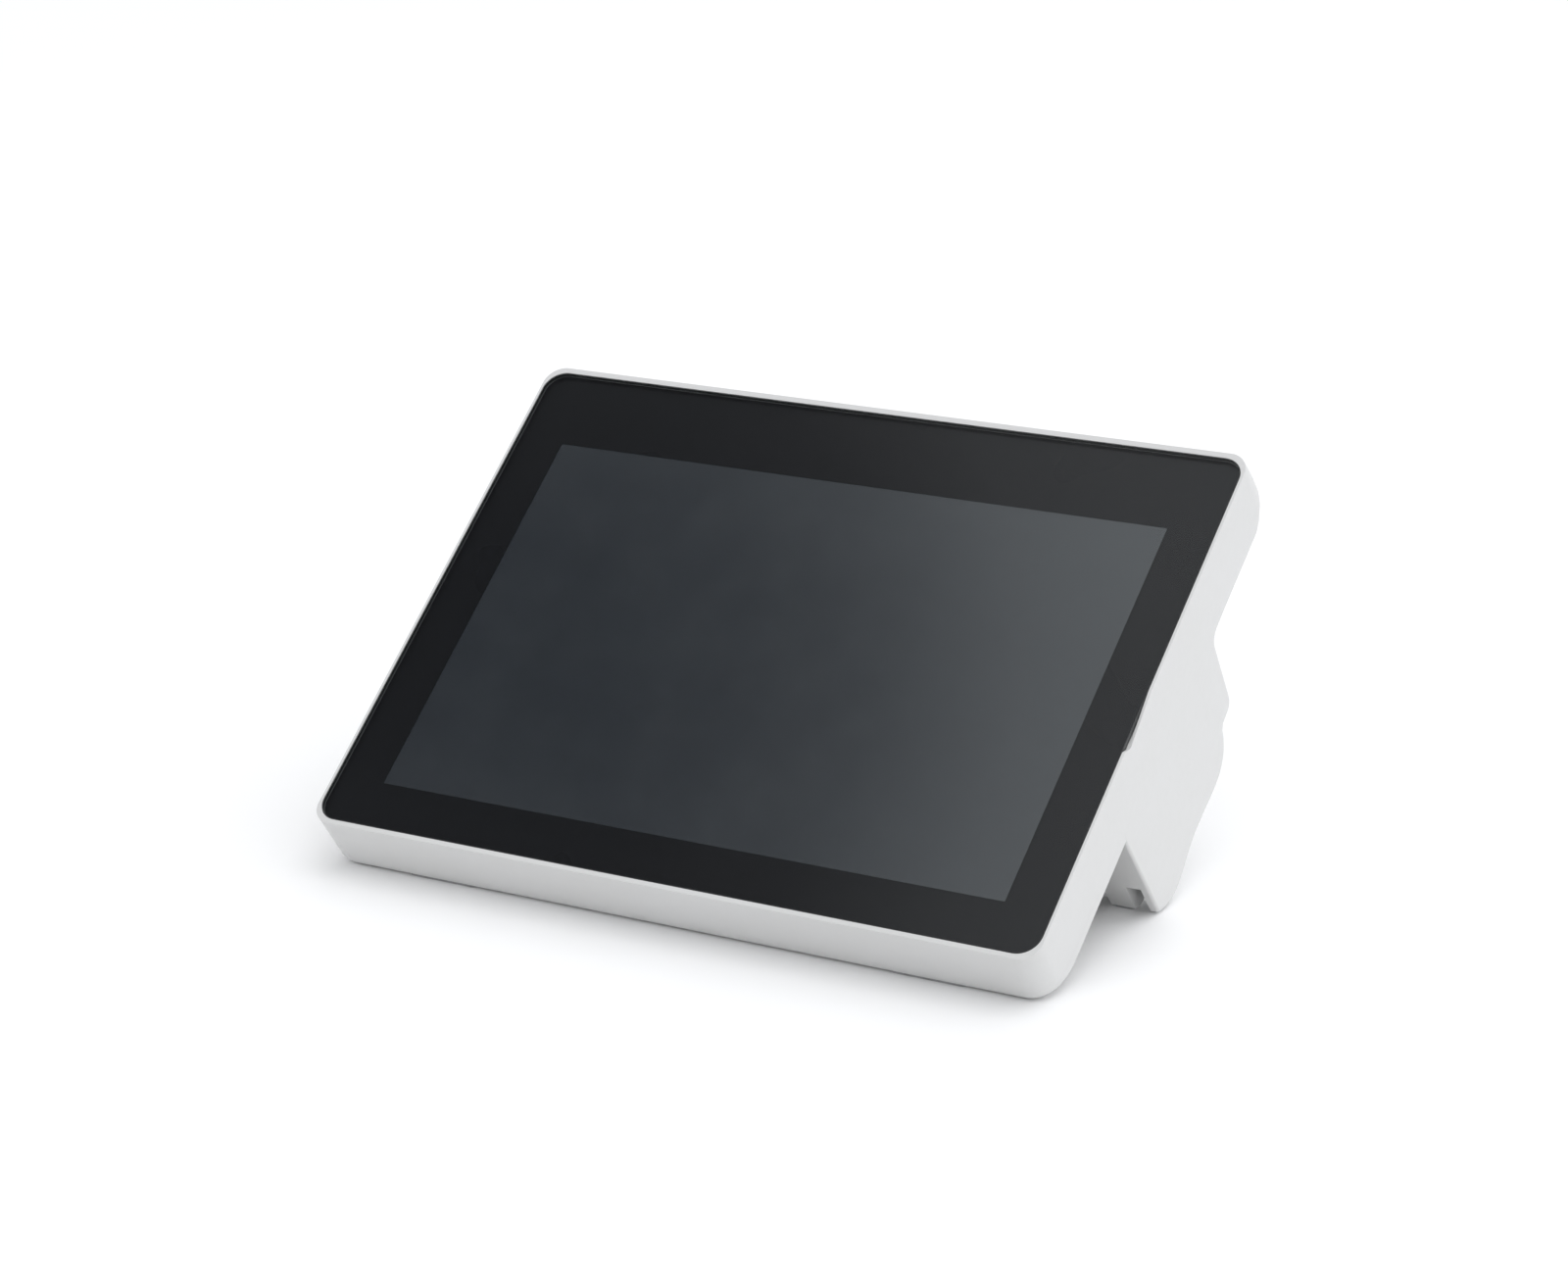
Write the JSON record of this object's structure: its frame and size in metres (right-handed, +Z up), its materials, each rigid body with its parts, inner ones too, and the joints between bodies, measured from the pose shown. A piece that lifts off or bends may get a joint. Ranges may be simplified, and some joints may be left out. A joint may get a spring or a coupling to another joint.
{
  "type": "pos touchscreen terminal",
  "caption": "Small countertop point-of-sale touchscreen terminal: a tilted glass slab on a box leg that holds the ports, with a sliding cable cover and a power button.",
  "frame": {"origin": "centre of the bounding box at the table, under the terminal", "axes": "+X to the viewer's right along the screen's width, +Y away from the viewer, +Z up"},
  "size_m": [0.252, 0.1628, 0.1257],
  "materials": {
    "white_abs": "fine satin texture",
    "cover_glass": "polished",
    "display": "semi gloss",
    "black_foam": "matte",
    "rubber_feet": "matte",
    "steel": "zinc plated",
    "tin_plate": "bright",
    "aluminium": "satin",
    "brass": "bright",
    "pcb_green": "solder mask",
    "black_plastic": "moulded",
    "amber_film": "polyimide film",
    "button_grey": "satin"
  },
  "bodies": {
    "terminal": {"housing": "white_abs", "cover_glass": "cover_glass", "glass_tape": "black_foam", "lcd_panel": "display", "backlight_pan": "aluminium", "chassis_plate": "steel", "main_board": "pcb_green", "shield_cans": "tin_plate", "heat_spreader": "aluminium", "coin_cell": "steel", "display_flex": "amber_film", "touch_flex": "amber_film", "speakers": "black_plastic", "speaker_gaskets": "black_foam", "wifi_antennas": "amber_film", "io_board": "pcb_green", "board_ribbon": "amber_film", "dc_jack": "black_plastic", "drawer_port": "black_plastic", "lan_port": "tin_plate", "usb_ports": "tin_plate", "usb_c_port": "tin_plate", "port_panel": "steel", "usb_panel": "steel", "button_board": "pcb_green", "tact_switch": "black_plastic", "button_flex": "amber_film", "cable_clip": "black_plastic", "front_feet": "rubber_feet", "rear_feet": "rubber_feet", "threaded_inserts": "brass", "chassis_screws": "steel", "board_screws": "steel", "io_screws": "steel", "clip_screws": "steel", "panel_screws": "steel"},
    "cable_cover": {"cable_cover": "white_abs"},
    "power_button": {"power_button": "button_grey"}
  },
  "joints": [
    {"name": "cable_cover_slide", "type": "slide", "parent": "terminal", "child": "cable_cover", "axis": [0, 0.807, 0.5906], "range_m": [0, 0.035]},
    {"name": "power_button_press", "type": "slide", "parent": "terminal", "child": "power_button", "axis": [1, 0, 0], "range_m": [0, 0.0006], "stiffness_N_per_m": 1500}
  ]
}
